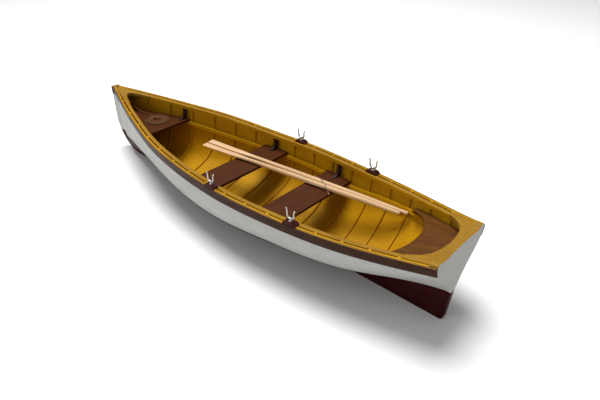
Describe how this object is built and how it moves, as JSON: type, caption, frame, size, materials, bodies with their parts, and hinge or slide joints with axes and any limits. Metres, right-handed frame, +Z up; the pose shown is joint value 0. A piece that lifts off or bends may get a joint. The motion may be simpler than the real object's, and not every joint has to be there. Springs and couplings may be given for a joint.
{
  "type": "model rowing boat",
  "caption": "Scale model of a carvel-planked pulling boat with open gunwales, bent frames, thwarts, U-shaped stern bench, turning oarlocks, lashed oars and coiled painter.",
  "frame": {"origin": "on the waterline plane, on the centreline, amidships", "axes": "+X towards the bow, +Y to port, +Z up; the keel's underside is level, 21 mm below the origin"},
  "size_m": [0.3565, 0.097, 0.0614],
  "materials": {
    "hull_paint": "white brushed paint on wood, eggshell",
    "bottom_paint": "dark maroon bottom paint on wood, eggshell",
    "mustard_paint": "mustard brushed paint on wood, eggshell",
    "seat_wood": "stained wood, brushed satin finish",
    "dark_wood": "dark walnut stain, satin",
    "pad_paint": "dark red-brown stain, satin",
    "pewter": "cast soft metal, satin",
    "oar_wood": "pale bare wood, thin varnish",
    "thread": "plain twisted thread",
    "rope": "laid cord, matt"
  },
  "bodies": {
    "hull": {"keel": "bottom_paint", "stem": "hull_paint", "deadwood": "bottom_paint", "transom": "hull_paint", "garboard_port": "hull_paint", "garboard_starboard": "hull_paint", "lower_bilge_port": "hull_paint", "lower_bilge_starboard": "hull_paint", "upper_bilge_port": "hull_paint", "upper_bilge_starboard": "hull_paint", "topside_port": "hull_paint", "topside_starboard": "hull_paint", "sheer_strake_port": "hull_paint", "sheer_strake_starboard": "hull_paint", "ribs": "mustard_paint", "inwale_port": "mustard_paint", "inwale_starboard": "mustard_paint", "rub_rail_port": "dark_wood", "rub_rail_starboard": "dark_wood", "riser_port": "mustard_paint", "riser_starboard": "mustard_paint", "breasthook": "mustard_paint", "quarter_knee_port": "mustard_paint", "quarter_knee_starboard": "mustard_paint", "bow_seat": "seat_wood", "forward_thwart": "seat_wood", "aft_thwart": "seat_wood", "stern_bench": "seat_wood", "bow_seat_knee_port": "dark_wood", "bow_seat_knee_starboard": "dark_wood", "forward_thwart_knee_port": "dark_wood", "forward_thwart_knee_starboard": "dark_wood", "aft_thwart_knee_port": "dark_wood", "aft_thwart_knee_starboard": "dark_wood", "oarlock_pad_port_fore": "pad_paint", "oarlock_pad_port_aft": "pad_paint", "oarlock_pad_starboard_fore": "pad_paint", "oarlock_pad_starboard_aft": "pad_paint", "painter_ring": "pewter", "painter_line": "rope", "painter_coil": "rope"},
    "oarlock_port_fore": {"oarlock_port_fore": "pewter"},
    "oarlock_port_aft": {"oarlock_port_aft": "pewter"},
    "oarlock_starboard_fore": {"oarlock_starboard_fore": "pewter"},
    "oarlock_starboard_aft": {"oarlock_starboard_aft": "pewter"},
    "oars": {"oar_inner": "oar_wood", "oar_outer": "oar_wood", "oar_lashing": "thread"}
  },
  "joints": [
    {"name": "oarlock_port_fore_turn", "type": "hinge", "parent": "hull", "child": "oarlock_port_fore", "pos_m": [-0.0166, 0.04535, 0.03104], "axis": [0, 0, 1], "continuous": true},
    {"name": "oarlock_port_aft_turn", "type": "hinge", "parent": "hull", "child": "oarlock_port_aft", "pos_m": [-0.0872, 0.04214, 0.03201], "axis": [0, 0, 1], "continuous": true},
    {"name": "oarlock_starboard_fore_turn", "type": "hinge", "parent": "hull", "child": "oarlock_starboard_fore", "pos_m": [-0.0166, -0.04535, 0.03104], "axis": [0, 0, 1], "continuous": true},
    {"name": "oarlock_starboard_aft_turn", "type": "hinge", "parent": "hull", "child": "oarlock_starboard_aft", "pos_m": [-0.0872, -0.04214, 0.03201], "axis": [0, 0, 1], "continuous": true},
    {"name": "oars_lift", "type": "slide", "parent": "hull", "child": "oars", "axis": [0, 0, 1], "range_m": [0, 0.04]}
  ]
}
